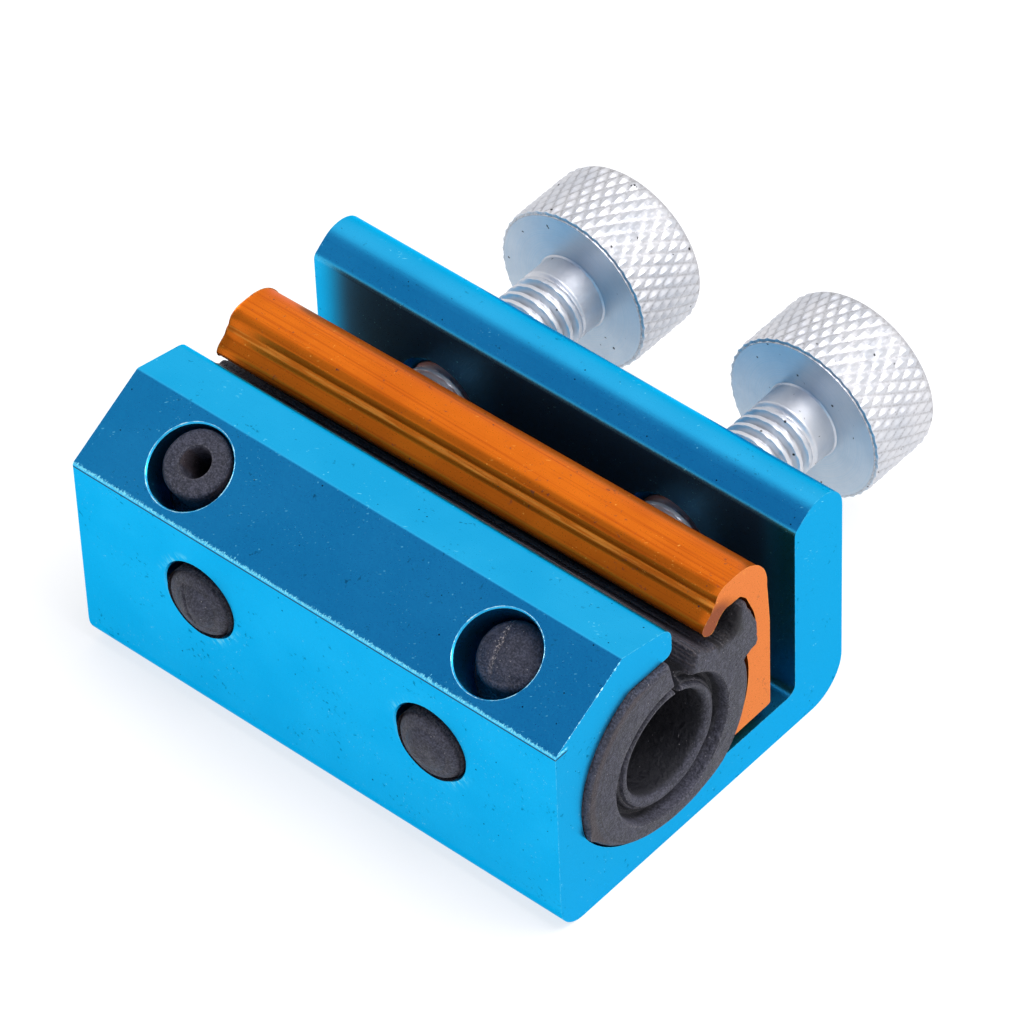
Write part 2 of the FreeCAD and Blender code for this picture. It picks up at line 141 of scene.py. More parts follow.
def make_softbox(name, place, target, width, height, power, colour=(1, 1, 1)):
    data = bpy.data.lights.new(name, "AREA")
    data.shape = "RECTANGLE"
    data.size, data.size_y = width, height
    data.energy = power
    data.color = colour
    light = bpy.data.objects.new(name, data)
    light.location = place
    aim = Vector(target) - Vector(place)
    light.rotation_euler = aim.to_track_quat("-Z", "Y").to_euler()
    bpy.context.scene.collection.objects.link(light)


def make_studio():
    """A white tent, open and darker overhead and on the camera's side, lit from above and from the right."""
    world = bpy.data.worlds.new("studio")
    bpy.context.scene.world = world
    world.use_nodes = True
    nodes, links = world.node_tree.nodes, world.node_tree.links
    nodes.clear()
    direction = nodes.new("ShaderNodeTexCoord")
    tilt = nodes.new("ShaderNodeVectorMath")
    ramp = nodes.new("ShaderNodeValToRGB")
    shade = nodes.new("ShaderNodeBackground")
    output = nodes.new("ShaderNodeOutputWorld")
    tilt.operation = "DOT_PRODUCT"
    tilt.inputs[1].default_value = (0.0, -0.6, 1.0)
    ramp.color_ramp.interpolation = "EASE"
    ramp.color_ramp.elements[0].position = 0.80
    ramp.color_ramp.elements[0].color = (1.0, 1.0, 1.0, 1)
    ramp.color_ramp.elements[1].position = 1.0
    ramp.color_ramp.elements[1].color = (0.08, 0.15, 0.31, 1)
    shade.inputs["Strength"].default_value = 1.0
    links.new(direction.outputs["Generated"], tilt.inputs[0])
    links.new(tilt.outputs["Value"], ramp.inputs["Fac"])
    links.new(ramp.outputs["Color"], shade.inputs["Color"])
    links.new(shade.outputs[0], output.inputs[0])
    make_softbox("top", (0.16, 0.05, 0.52), (0, 0, 0.01), 0.30, 0.30, 2.2)
    make_softbox("side", (0.34, 0.26, 0.34), (0, 0, 0.01), 0.30, 0.30, 0.45)


def make_floor():
    grid = bmesh.new()
    bmesh.ops.create_grid(grid, x_segments=2, y_segments=2, size=1.5)
    mesh = bpy.data.meshes.new("floor")
    grid.to_mesh(mesh)
    grid.free()
    floor = bpy.data.objects.new("floor", mesh)
    bpy.context.scene.collection.objects.link(floor)
    steps = Steps("studio_floor")
    tone = steps.noise(steps.place(), 40.0, 2.0)
    steps.shade("Base Color", steps.between(tone, (0.30, 0.303, 0.306), (0.35, 0.35, 0.35)))
    steps.shade("Roughness", 0.9)
    steps.shade("Emission Color", (1.0, 1.0, 1.0, 1.0))
    steps.shade("Emission Strength", 0.71)
    mesh.materials.append(steps.material)


# ---------------------------------------------------------------- materials

class Steps:
    """One material, written as a list of steps that each return a node's output."""

    def __init__(self, name):
        self.material = bpy.data.materials.new(name)
        self.material.use_nodes = True
        self.tree = self.material.node_tree
        self.shader = next(n for n in self.tree.nodes if n.type == "BSDF_PRINCIPLED")

    def node(self, kind, settings=None, **inputs):
        made = self.tree.nodes.new(kind)
        for key, setting in (settings or {}).items():
            setattr(made, key, setting)
        for key, given in inputs.items():
            self.feed(made.inputs[int(key[1:])], given)
        return made

    def feed(self, socket, given):
        if isinstance(given, bpy.types.NodeSocket):
            self.tree.links.new(given, socket)
        elif socket.type == "RGBA" and len(given) == 3:
            socket.default_value = (*given, 1.0)
        else:
            socket.default_value = given

    def shade(self, socket, given):
        self.feed(self.shader.inputs[socket], given)

    def place(self, stretch=(1.0, 1.0, 1.0), turn=(0.0, 0.0, 0.0)):
        """Position in metres, turned by angles in degrees, then stretched by a factor per axis."""
        made = self.node("ShaderNodeMapping", {"vector_type": "TEXTURE"},
                         i0=self.node("ShaderNodeTexCoord").outputs["Object"],
                         i2=[math.radians(angle) for angle in turn], i3=[1 / factor for factor in stretch])
        return made.outputs[0]

    def noise(self, place, scale, detail, roughness=0.5, distortion=0.0):
        made = self.node("ShaderNodeTexNoise", i0=place)
        made.inputs["Scale"].default_value = scale
        made.inputs["Detail"].default_value = detail
        made.inputs["Roughness"].default_value = roughness
        made.inputs["Distortion"].default_value = distortion
        return made.outputs["Fac"]

    def cells(self, place, scale):
        """Distance to the nearest point of a scattered set."""
        made = self.node("ShaderNodeTexVoronoi", {"feature": "F1"}, i0=place)
        made.inputs["Scale"].default_value = scale
        return made.outputs["Distance"]

    def math(self, operation, first, second=0.0):
        return self.node("ShaderNodeMath", {"operation": operation}, i0=first, i1=second).outputs[0]

    def level(self, given, low, high, at_low=0.0, at_high=1.0):
        """Maps low..high smoothly to at_low..at_high."""
        made = self.node("ShaderNodeMapRange", {"interpolation_type": "SMOOTHSTEP"},
                         i0=given, i1=low, i2=high, i3=at_low, i4=at_high)
        return made.outputs[0]

    def between(self, factor, first, second):
        """Colour mix."""
        made = self.node("ShaderNodeMix", {"data_type": "RGBA"})
        self.feed(made.inputs[0], factor)
        self.feed(made.inputs[6], first)
        self.feed(made.inputs[7], second)
        return made.outputs[2]

    def part(self, place, axis):
        return self.node("ShaderNodeSeparateXYZ", i0=place).outputs[axis]

    def facing(self, axis):
        """How squarely the surface faces along one axis, either way."""
        normal = self.node("ShaderNodeNewGeometry").outputs["True Normal"]
        return self.math("ABSOLUTE", self.part(normal, axis))

    def band(self, given, low, high, soft):
        """1 between two levels, fading to 0 outside them."""
        return self.math("MULTIPLY", self.level(given, low - soft, low), self.level(given, high + soft, high))

    def times(self, *factors):
        product = factors[0]
        for factor in factors[1:]:
            product = self.math("MULTIPLY", product, factor)
        return product

    def distance(self, given, centre):
        """Distance in metres from an axis; given and centre are each a pair."""
        runs = [self.math("SUBTRACT", a, b) for a, b in zip(given, centre)]
        return self.math("SQRT", self.math("ADD", *(self.math("MULTIPLY", run, run) for run in runs)))

    def edge(self, radius):
        """1 at sharp edges, fading to 0 over the radius."""
        rounded = self.node("ShaderNodeBevel", {"samples": 6}, i0=radius).outputs[0]
        normal = self.node("ShaderNodeNewGeometry").outputs["True Normal"]
        dot = self.node("ShaderNodeVectorMath", {"operation": "DOT_PRODUCT"}, i0=rounded, i1=normal)
        return self.level(dot.outputs["Value"], 0.995, 0.86)

    def specks(self, place, scale, size, share):
        """Sparse dots: only the given share of the cells has one."""
        dots = self.level(self.cells(place, scale), size, size * 0.55)
        gate = self.level(self.noise(place, scale * 0.9, 0.0), 1.0 - share, 1.0 - share + 0.02)
        return self.math("MULTIPLY", dots, gate)

    def flecks(self, wide, long, turn, share):
        """Short straight strokes in clusters; sizes in metres."""
        place = self.place((wide / long, 1.0, 1.0), turn)
        cluster = self.level(self.noise(self.place(), 330.0, 1.0), 0.52, 0.60)
        return self.math("MULTIPLY", self.specks(place, 0.22 / wide, 0.24, share), cluster)

    def bump(self, height, depth):
        made = self.node("ShaderNodeBump", i0=1.0, i1=depth)
        self.feed(made.inputs["Height"], height)
        if self.shader.inputs["Normal"].is_linked:
            previous = self.shader.inputs["Normal"].links[0].from_socket
            self.feed(made.inputs["Normal"], previous)
        self.shade("Normal", made.outputs[0])


def anodised(name, tone, dark, pale, sawn_tone, tint, gloom, die_lines, metal, marks):
    """Dyed aluminium: extrusion lines on long faces, sawn grain on the ends, bright wear on the edges.

    Worn and scuffed places scatter light, so they are less metallic; so are the painted highlights, and the
    painted shade by half.  marks gives the piece's own worn marks and painted highlights, and its painted
    shade, and gloom is the colour of that painted shade.
    """
    steps = Steps(name)
    place = steps.place()
    grain = steps.noise(place, 9000.0, 3.0, 0.7)
    cloud = steps.noise(place, 190.0, 3.0)
    lines = steps.noise(steps.place((0.012, 1.0, 1.0)), 3600.0, 3.0, 0.6)
    end = steps.level(steps.facing("X"), 0.75, 0.9)
    long_face = steps.math("SUBTRACT", 1.0, end)
    colour = steps.between(steps.level(cloud, 0.3, 0.7, 0.0, 0.30), tone, dark)
    drawn = steps.times(steps.level(lines, 0.52, 0.30, 0.0, die_lines), long_face)
    colour = steps.between(drawn, colour, dark)
    sawn = steps.between(steps.level(grain, 0.45, 0.70, 0.0, 0.30), sawn_tone, dark)
    colour = steps.between(end, colour, sawn)
    pits = steps.specks(steps.place((1.0, 1.07, 0.93)), 1500.0, 0.12, 0.365)
    stains = steps.math("MULTIPLY", steps.level(steps.noise(place, 2600.0, 3.0, 0.6), 0.60, 0.72, 0.0, 0.5),
                        steps.level(steps.noise(place, 420.0, 1.0), 0.54, 0.62))
    colour = steps.between(steps.math("MAXIMUM", pits, stains), colour, (0.004, 0.02, 0.05))
    # scuffs: dots and short strokes of bare metal
    dots = steps.math("MULTIPLY", steps.specks(place, 2300.0, 0.17, 0.37),
                      steps.level(steps.noise(place, 520.0, 1.0), 0.52, 0.60))
    scuffs = steps.math("MAXIMUM", steps.flecks(0.00004, 0.00030, (0, 0, 35), 0.36),
                        steps.flecks(0.00004, 0.00022, (25, 40, 100), 0.36))
    ragged = steps.level(steps.noise(place, 4200.0, 3.0, 0.7), 0.42, 0.60)
    wear_and_highlight = steps.math("MAXIMUM", steps.times(steps.edge(0.00009), ragged, 0.45),
                      steps.math("MULTIPLY", steps.math("MAXIMUM", dots, scuffs), 0.5))
    # marks gives worn marks together with painted highlights, and painted shade
    more, shadow = marks(steps, place)
    wear_and_highlight = steps.math("MAXIMUM", wear_and_highlight, more)
    colour = steps.between(shadow, colour, gloom)
    colour = steps.between(wear_and_highlight, colour, pale)
    steps.shade("Base Color", colour)
    steps.shade("Specular Tint", (*tint, 1.0))
    matte = steps.math("MAXIMUM", wear_and_highlight, steps.math("MULTIPLY", shadow, 0.5))
    steps.shade("Metallic", steps.level(matte, 0.0, 1.0, metal, 0.2))
    steps.shade("Roughness", steps.level(grain, 0.3, 0.7, 0.27, 0.35))
    steps.bump(steps.math("MULTIPLY", lines, long_face), 0.000004)
    steps.bump(grain, 0.000003)
    return steps.material


def block_marks(steps, place):
    """The block's own marks: a torn fringe on the slope's lower edge, with a painted shadow line under it; a
    painted highlight sparkling on the wall's inner edge; pale smears beside the front ports; and painted
    shade inside the trough."""
    x, y, z = (steps.part(place, axis) for axis in "XYZ")
    high = steps.math("SUBTRACT", z, (FRONT_HEIGHT + 0.02) * MM)
    strokes = steps.noise(steps.place((1.0, 0.10, 0.10), (0, 0, 12)), 11000.0, 2.0, 0.6)
    streaks = steps.noise(steps.place((1.0, 0.06, 0.06), (0, 0, -10)), 4200.0, 1.0)
    patches = steps.noise(steps.place((1.0, 0.05, 0.05)), 620.0, 2.0)
    reach = steps.times(steps.math("ADD", steps.level(strokes, 0.40, 0.66, 0.0, 0.00008),
                                   steps.level(streaks, 0.66, 0.78, 0.0, 0.00010)),
                        steps.level(patches, 0.35, 0.65, 0.5, 1.2))
    near_front = steps.level(y, front(1.4), front(1.0))
    glints = steps.level(steps.noise(steps.place((1.0, 0.5, 0.5)), 9500.0, 2.0, 0.8), 0.38, 0.60, 0.15, 1.0)
    fringe = steps.times(steps.level(high, -0.00018, -0.00010), glints,
                         steps.level(steps.math("SUBTRACT", high, reach), 0.00004, 0.0), near_front)
    # a painted shadow line just under the fringe
    under = steps.times(steps.band(high, -0.00033, -0.00024, 0.00004), near_front)
    # painted highlight: a sparkling band where the wall's inner edge turns over towards the bright horizon
    normal = steps.node("ShaderNodeNewGeometry").outputs["Normal"]
    turning = steps.band(steps.part(normal, "Z"), 0.24, 0.56, 0.14)
    on_wall = steps.times(steps.band(y, front(WALL_NEAR_Y), front(WALL_FAR_Y), 0.00002),
                          steps.level(z, WALL_ROUND_Z * MM, (WALL_ROUND_Z + 0.2) * MM))
    sparks = steps.level(steps.noise(place, 8500.0, 2.0, 0.8), 0.34, 0.62, 0.0, 0.12)
    painted_edge_sparkle = steps.times(turning, on_wall, sparks)
    # smears of bare metal
    streaks_across = steps.place((0.25, 1.0, 1.0), (0, 40, 0))
    streaky = steps.level(steps.noise(streaks_across, 3200.0, 3.0, 0.7), 0.46, 0.66)
    smears = 0.0
    for centre in (-SCREW_SPREAD, SCREW_SPREAD):
        away = steps.distance((x, z), (centre * MM, SCREW_Z * MM))
        slant = steps.math("SUBTRACT", steps.math("SUBTRACT", x, centre * MM),
                           steps.math("SUBTRACT", z, SCREW_Z * MM))
        corner = steps.level(steps.math("ABSOLUTE", slant), 0.0041, 0.0047)
        smears = steps.math("MAXIMUM", smears, steps.times(steps.level(away, 0.0042, 0.0031), corner))
    on_front = steps.level(steps.math("ABSOLUTE", steps.part(normal, "Y")), 0.97, 0.99)
    smears = steps.times(smears, streaky, on_front, 0.65)
    # the trough side of the wall sees little light, except at its ends
    inside = steps.times(steps.band(y, front(WALL_NEAR_Y), front(WALL_FAR_Y + 0.2), 0.0001),
                         steps.level(steps.part(normal, "Y"), -0.7, -0.95),
                         steps.level(steps.math("ABSOLUTE", x), 0.0222, 0.0185),
                         steps.level(z, 0.0, 0.012, 0.6, 0.9))
    shadow = steps.math("MAXIMUM", under, inside)
    return steps.math("MAXIMUM", steps.math("MAXIMUM", fringe, painted_edge_sparkle), smears), shadow


def plate_marks(steps, place):
    """The plate's own marks: a painted highlight along the top of its ridge, with a little wear in it,
    painted shade on its back, and painted shade on the end face by the rubber.
    """
    y, z = (steps.part(place, axis) for axis in "YZ")
    normal = steps.node("ShaderNodeNewGeometry").outputs["Normal"]
    # painted highlight along the ridge on the faces turned to the front, with a little wear in it
    glints = steps.level(steps.noise(steps.place((0.05, 1.0, 1.0)), 6000.0, 2.0, 0.7), 0.40, 0.62, 0.1, 0.6)
    on_crest = steps.band(z, CREST_Z[0] * MM, CREST_Z[1] * MM, 0.00008)
    crest_highlight = steps.times(on_crest, glints, steps.level(steps.part(normal, "Y"), -0.4, -0.6), 0.6)
    # painted shade on the plate's back, the side that faces the wall
    back = steps.level(steps.part(normal, "Y"), 0.6, 0.95, 0.0, 0.7)
    # painted shade on the end face near the rubber, under the nose
    away = steps.distance((y, z), (front(NOSE_CENTRE[0]), NOSE_CENTRE[1] * MM))
    shade_by_rubber = steps.times(steps.level(away, 0.0023, 0.0010), steps.level(steps.facing("X"), 0.75, 0.9), 0.9)
    return crest_highlight, steps.math("MAXIMUM", back, shade_by_rubber)


def blue_aluminium():
    return anodised("blue_anodised_aluminium", tone=(0.028, 0.43, 0.79), dark=(0.010, 0.34, 0.68),
                    pale=(0.22, 0.78, 0.93), sawn_tone=(0.040, 0.36, 0.68), tint=(0.22, 0.80, 1.0),
                    gloom=(0.018, 0.026, 0.060), die_lines=0.05, metal=1.0, marks=block_marks)


def orange_aluminium():
    return anodised("orange_anodised_aluminium", tone=(0.71, 0.155, 0.008), dark=(0.40, 0.054, 0.003),
                    pale=(1.0, 0.46, 0.08), sawn_tone=(0.72, 0.215, 0.065), tint=(1.0, 0.45, 0.12),
                    gloom=(0.16, 0.030, 0.006), die_lines=0.55, metal=0.66, marks=plate_marks)


def moulded_rubber():
    """Matte black rubber: bloom, dust, a fine grain, moulding lines along it and a crease round its end."""
    steps = Steps("moulded_rubber")
    place = steps.place()
    x, y, z = (steps.part(place, axis) for axis in "XYZ")
    grain = steps.noise(place, 6500.0, 4.0, 0.75)
    mottle = steps.noise(place, 1500.0, 4.0, 0.65)
    bloom = steps.noise(place, 260.0, 4.0, 0.6)
    colour = steps.between(steps.level(bloom, 0.35, 0.7), (0.020, 0.020, 0.033), (0.038, 0.038, 0.060))
    colour = steps.between(steps.level(mottle, 0.46, 0.66, 0.0, 0.65), colour, (0.062, 0.062, 0.092))
    colour = steps.between(steps.level(grain, 0.50, 0.60, 0.0, 0.55), colour, (0.100, 0.098, 0.132))
    colour = steps.between(steps.level(grain, 0.49, 0.39, 0.0, 0.70), colour, (0.009, 0.009, 0.014))
    # the shoulder between jaw and plate: painted shade, as it lies in the shade between them, with moulding
    # lines along it
    end = steps.level(steps.facing("X"), 0.75, 0.9)
    shoulder = steps.times(steps.math("SUBTRACT", 1.0, end),
                           steps.level(y, front(SHOULDER_START_Y), front(SHOULDER_START_Y + 0.4)),
                           steps.level(z, SHOULDER_LOW_Z * MM, (SHOULDER_LOW_Z + 0.4) * MM))
    colour = steps.between(steps.times(shoulder, 0.5), colour, (0.014, 0.011, 0.013))
    lines = steps.noise(steps.place((0.015, 1.0, 1.0)), 3000.0, 2.0, 0.6)
    along = steps.times(steps.level(lines, 0.54, 0.62), shoulder)
    colour = steps.between(steps.math("MULTIPLY", along, 0.4), colour, (0.13, 0.10, 0.10))
    # painted shade in the valley under the plate's hook
    hollow = steps.times(steps.band(y, front(VALLEY_Y[0]), front(VALLEY_Y[1]), 0.0005),
                         steps.band(z, VALLEY_Z[0] * MM, VALLEY_Z[1] * MM, 0.0006))
    colour = steps.between(steps.times(hollow, 0.85), colour, (0.006, 0.005, 0.007))
    # painted shade deeper into the bore and in the recess round it, with old oil in the bore
    bore = steps.distance((y, z), (front(BORE_CENTRE[0]), BORE_CENTRE[1] * MM))
    depth = steps.math("SUBTRACT", sleeve_end_x, steps.math("ABSOLUTE", x))
    recess = steps.times(steps.level(bore, (MOUTH_RADIUS + 0.2) * MM, MOUTH_RADIUS * MM),
                         steps.level(depth, 0.0005, 0.0009))
    bore_oil_and_shade = steps.times(steps.level(bore, (BORE_RADIUS + 0.35) * MM, BORE_RADIUS * MM),
                        steps.level(depth, 0.0003, 0.0016))
    colour = steps.between(steps.times(recess, 0.75), colour, (0.008, 0.008, 0.011))
    colour = steps.between(steps.times(bore_oil_and_shade, 0.85), colour, (0.005, 0.005, 0.010))
    # a crease and a brown tinge near the outer edge of the end faces
    away = steps.distance((y, z), (front(SEAT_CENTRE[0]), SEAT_CENTRE[1] * MM))
    outer = steps.times(steps.level(away, 0.0076, 0.0080), steps.level(y, front(12.0), front(9.0)), end)
    colour = steps.between(steps.times(outer, 0.6), colour, (0.045, 0.029, 0.030))
    crease = steps.times(steps.band(away, 0.00735, 0.00739, 0.00005), end,
                         steps.level(y, front(12.0), front(9.0)), steps.level(mottle, 0.35, 0.55))
    colour = steps.between(steps.times(crease, 0.8), colour, (0.016, 0.012, 0.014))
    # dust, and the pale chips along the closed nub's crease
    colour = steps.between(steps.specks(place, 2600.0, 0.14, 0.40), colour, (0.24, 0.22, 0.23))
    slant = steps.math("ADD", x, steps.math("MULTIPLY", steps.math("SUBTRACT", z, 0.01884), 0.5))
    chips = steps.times(steps.band(slant, (SLOPE_PORT_X - 1.08) * MM, (SLOPE_PORT_X - 0.86) * MM, 0.00012),
                        steps.level(z, 0.0178, 0.0182), steps.level(y, front(6.8), front(6.5)),
                        steps.level(steps.noise(place, 6500.0, 2.0, 0.7), 0.54, 0.62))
    colour = steps.between(chips, colour, (0.42, 0.36, 0.33))
    rubbed = steps.math("MULTIPLY", steps.edge(0.00022), steps.level(grain, 0.38, 0.60, 0.0, 0.65))
    colour = steps.between(rubbed, colour, (0.20, 0.185, 0.20))
    steps.shade("Base Color", colour)
    steps.shade("Roughness", steps.level(bloom, 0.3, 0.7, 0.50, 0.66))
    steps.shade("Specular IOR Level", 0.4)
    steps.bump(grain, 0.00009)
    steps.bump(mottle, 0.00030)
    steps.bump(bloom, 0.0001)
    steps.bump(along, 0.00002)
    return steps.material


def bright_zinc(x_centre):
    """Zinc-plated steel: bright and soft on the knurl, turned on the flat faces, with a painted reflection of
    the blue block there.
    """
    side = "left" if x_centre < 0 else "right"
    steps = Steps(f"zinc_{side}")
    place = steps.place()
    grain = steps.noise(place, 5200.0, 3.0, 0.6)
    cloud = steps.noise(place, 420.0, 3.0)
    away = steps.distance((steps.part(place, "X"), steps.part(place, "Z")), (x_centre, SCREW_Z * MM))
    flat = steps.level(steps.facing("Y"), 0.85, 0.95)
    rings = steps.noise(steps.node("ShaderNodeCombineXYZ", i0=away).outputs[0], 7000.0, 2.0, 0.6)
    colour = steps.between(steps.level(cloud, 0.3, 0.7), (0.65, 0.645, 0.67), (0.56, 0.57, 0.61))
    # painted reflection of the blue block on the flat faces, along the turned rings
    turned = steps.times(steps.level(rings, 0.45, 0.7, 0.35, 0.7), flat)
    colour = steps.between(turned, colour, (0.40, 0.53, 0.62))
    low = (HEAD_RADIUS - KNURL_DEPTH) * MM
    on_rim = steps.level(away, low - 0.0002, low - 0.0001)
    # painted shade in the knurl's grooves, with grime
    groove = steps.math("MULTIPLY", steps.level(away, low + 0.00008, low), on_rim)
    groove_grime_and_shade = steps.math("MULTIPLY", groove, steps.level(grain, 0.30, 0.65, 0.15, 0.7))
    colour = steps.between(groove_grime_and_shade, colour, (0.30, 0.285, 0.29))
    # grease and painted shade in the thread's roots
    shank = steps.level(away, (THREAD_RADIUS + 0.05) * MM, THREAD_RADIUS * MM)
    root = steps.level(away, (THREAD_RADIUS - 0.25) * MM, (THREAD_RADIUS - THREAD_DEPTH) * MM)
    root_grease_and_shade = steps.times(root, shank, steps.level(cloud, 0.3, 0.6, 0.1, 0.5))
    colour = steps.between(root_grease_and_shade, colour, (0.26, 0.25, 0.27))
    colour = steps.between(steps.specks(place, 1100.0, 0.15, 0.405), colour, (0.03, 0.03, 0.035))
    steps.shade("Base Color", colour)
    steps.shade("Metallic", 0.82)
    rim_rough = steps.level(grain, 0.3, 0.7, 0.38, 0.52)
    steps.shade("Roughness", steps.math("SUBTRACT", rim_rough, steps.math("MULTIPLY", flat, 0.10)))
    steps.bump(steps.math("MULTIPLY", rings, flat), 0.000006)
    steps.bump(steps.math("MULTIPLY", grain, steps.math("SUBTRACT", 1.0, flat)), 0.000008)
    return steps.material


def repaint(obj, material):
    obj.data.materials.clear()
    obj.data.materials.append(material)


# ---------------------------------------------------------------- mesh helpers

def new_piece(name, points, faces, sharp=math.radians(34)):
    """A closed mesh object from points in metres, smooth except across sharp edges."""
    mesh = bpy.data.meshes.new(name)
    mesh.from_pydata([tuple(p) for p in points], [], faces)
    edit = bmesh.new()
    edit.from_mesh(mesh)
    bmesh.ops.remove_doubles(edit, verts=edit.verts, dist=1e-7)
    bmesh.ops.recalc_face_normals(edit, faces=edit.faces)
    edit.to_mesh(mesh)
    edit.free()
    piece = bpy.data.objects.new(name, mesh)
    bpy.context.scene.collection.objects.link(piece)
    smooth(piece, sharp)
    return piece


def smooth(piece, sharp):
    mesh = piece.data
    mesh.shade_smooth()
    mesh.set_sharp_from_angle(angle=sharp)


def combine(piece, operation, *others):
    """Joins or cuts closed meshes, and removes the ones used up."""
    for other in others:
        step = piece.modifiers.new("combine", "BOOLEAN")
        step.operation = operation
        step.solver = "EXACT"
        step.object = other
        evaluated = piece.evaluated_get(bpy.context.evaluated_depsgraph_get())
        mesh = bpy.data.meshes.new_from_object(evaluated)
        piece.modifiers.clear()
        old, piece.data = piece.data, mesh
        bpy.data.meshes.remove(old)
        bpy.data.objects.remove(other)


def lathe(name, profile, segments, place, reach=None):
    """A closed turned shape.  profile is (along, radius) from one pole to the other, in millimetres;
    place(along, radius, angle) gives the point; reach(along, radius, angle) may change the radius."""
    points, faces = [], []
    rings = profile[1:-1]
    for along, radius in rings:
        for i in range(segments):
            angle = 2 * math.pi * i / segments
            size = reach(along, radius, angle) if reach else radius
            points.append(place(along, size, angle))
    for k in range(len(rings) - 1):
        for i in range(segments):
            j = (i + 1) % segments
            a, b = k * segments, (k + 1) * segments
            faces.append((a + i, a + j, b + j, b + i))
    for pole, first in ((profile[0], 0), (profile[-1], (len(rings) - 1) * segments)):
        points.append(place(pole[0], 0.0, 0.0))
        for i in range(segments):
            faces.append((len(points) - 1, first + i, first + (i + 1) % segments))
    return new_piece(name, points, faces)


def arc(centre, radius, from_angle, to_angle, count):
    """Points (y, z) on a circle, angles in degrees, both ends included."""
    spots = []
    for i in range(count + 1):
        angle = math.radians(from_angle + (to_angle - from_angle) * i / count)
        spots.append((centre[0] + radius * math.cos(angle), centre[1] + radius * math.sin(angle)))
    return spots


def chord_arc(start, end, radius, count):
    """Points on an arc that hangs below the line from start to end, both ends included."""
    a, b = Vector(start), Vector(end)
    along = (b - a).normalized()
    up = Vector((-along.y, along.x))
    middle = (a + b) / 2 + up * math.sqrt(radius ** 2 - ((b - a).length / 2) ** 2)
    angles = [math.degrees(math.atan2(p.y - middle.y, p.x - middle.x)) for p in (a, b)]
    return arc(middle, radius, angles[0], angles[1], count)


def height_angle(centre, radius, height):
    return math.degrees(math.asin((height - centre[1]) / radius))


def resample(spots, step):
    """Evenly spaced points along an open line of (y, z) points, corners kept."""
    out = [Vector(spots[0])]
    for a, b in zip(spots, spots[1:]):
        a, b = Vector(a), Vector(b)
        count = max(1, round((b - a).length / step))
        out += [a.lerp(b, (i + 1) / count) for i in range(count)]
    return out


# ---------------------------------------------------------------- rubber sleeve

# Over the rear shoulder from the flap in the plate's hook, with its moulding lines, into the V.
FLAP_AND_SHOULDER = [
    (19.15, 11.75), (19.9, 12.05), (20.55, 12.2), (20.78, 12.7), (20.62, 13.3), (20.72, 13.9), (20.6, 14.5),
    (20.35, 15.1), (19.95, 15.95), (19.75, 16.5), (19.55, 17.05), (19.2, 17.35), (18.9, 17.3), (18.6, 16.95),
    (18.45, 16.3), (18.2, 15.5), (17.9, 15.2), (17.55, 15.12), (17.35, 15.32), (17.05, 15.34), (16.9, 15.2),
    (16.35, 15.42), (16.15, 15.68), (15.85, 15.72), (15.65, 15.66), (15.1, 16.1), (14.75, 16.45),
    (14.35, 16.6), (14.1, 16.5), (13.75, 15.6), (13.4, 14.7), (12.95, 13.95),
]
# The V's front wall up to the flat top under the jaw's lip.
FRONT_LIP = [(12.2, 13.9), (12.0, 14.9), (11.65, 16.6), (11.45, 17.5), (11.2, FLAT_TOP_Z)]
SLIT = (12.28, 12.72)
# The mouth of the bore from outside the end face inwards: depth and radius.  A raised lip rings the bore.
MOUTH = [
    (-1.0, 0.0), (-1.0, 6.2), (-0.08, 6.1), (0.0, 5.98), (0.08, 5.88), (0.3, 5.8), (0.9, 5.72), (1.2, 5.6),
    (1.3, 5.4), (1.22, 5.2), (0.86, 5.1), (0.72, 5.02), (0.68, 4.95), (0.74, 4.88), (0.6, 4.82), (0.42, 4.74),
    (0.35, 4.6), (0.36, 4.45), (0.44, 4.3), (0.62, 4.18), (0.9, BORE_RADIUS), (1.5, BORE_RADIUS - 0.02),
    (1.5, 0.0),
]
# The rounded outer edge: depth and how far in from the full outline.
OUTER_EDGE = [(0.0, 0.34), (0.04, 0.24), (0.12, 0.14), (0.24, 0.06), (0.38, 0.02), (0.55, 0.0)]


def sleeve_outline():
    """The outside of the sleeve from the slit's front edge, round the seat and the flap, to its rear edge."""
    top = height_angle(SEAT_CENTRE, SEAT_RADIUS, FLAT_TOP_Z)
    cusp = height_angle(SEAT_CENTRE, SEAT_RADIUS, CUSP_Z)
    wall = arc(SEAT_CENTRE, SEAT_RADIUS, 180 - top, 180 - cusp, 34)
    heel = height_angle(BORE_CENTRE, REAR_RADIUS, HEEL_Z)
    flap_foot = height_angle(BORE_CENTRE, REAR_RADIUS, FLAP_FOOT_Z)
    rear = arc(BORE_CENTRE, REAR_RADIUS, heel, flap_foot, 18)
    floor = chord_arc(wall[-1], rear[0], FLOOR_RADIUS, 30)
    lip = resample(FRONT_LIP, 0.3)
    ribs = resample(FLAP_AND_SHOULDER, 0.22)
    return [Vector(s) for s in (*lip, *wall, *floor[1:], *rear[1:], *ribs)]


def follow_plate(x, spot):
    """The rear half leans with the plate, which stands a little askew."""
    share = min(max((spot.x - 12.0) / 6.0, 0.0), 1.0)
    lean = (x / MM - PLATE_HALF_LENGTH) * math.tan(PLATE_YAW) * share * share * (3 - 2 * share)
    return Vector((spot.x + lean, spot.y))


def rough_skin(x, spot):
    """The small unevenness of moulded rubber, ragged along the flap's back."""
    shift = noise.noise_vector(Vector((x / MM * 0.5, spot.x * 0.9, spot.y * 0.9))) * 0.035
    flap = min(max((spot.x - 19.0) / 0.8, 0.0), 1.0) * min(max((spot.y - 12.0) / 0.6, 0.0), 1.0)
    ragged = noise.noise_vector(Vector((x / MM * 1.4, spot.x * 2.2, spot.y * 2.2))) * 0.13 * flap
    return Vector((spot.x + shift.y + ragged.y, spot.y + shift.z + ragged.z))


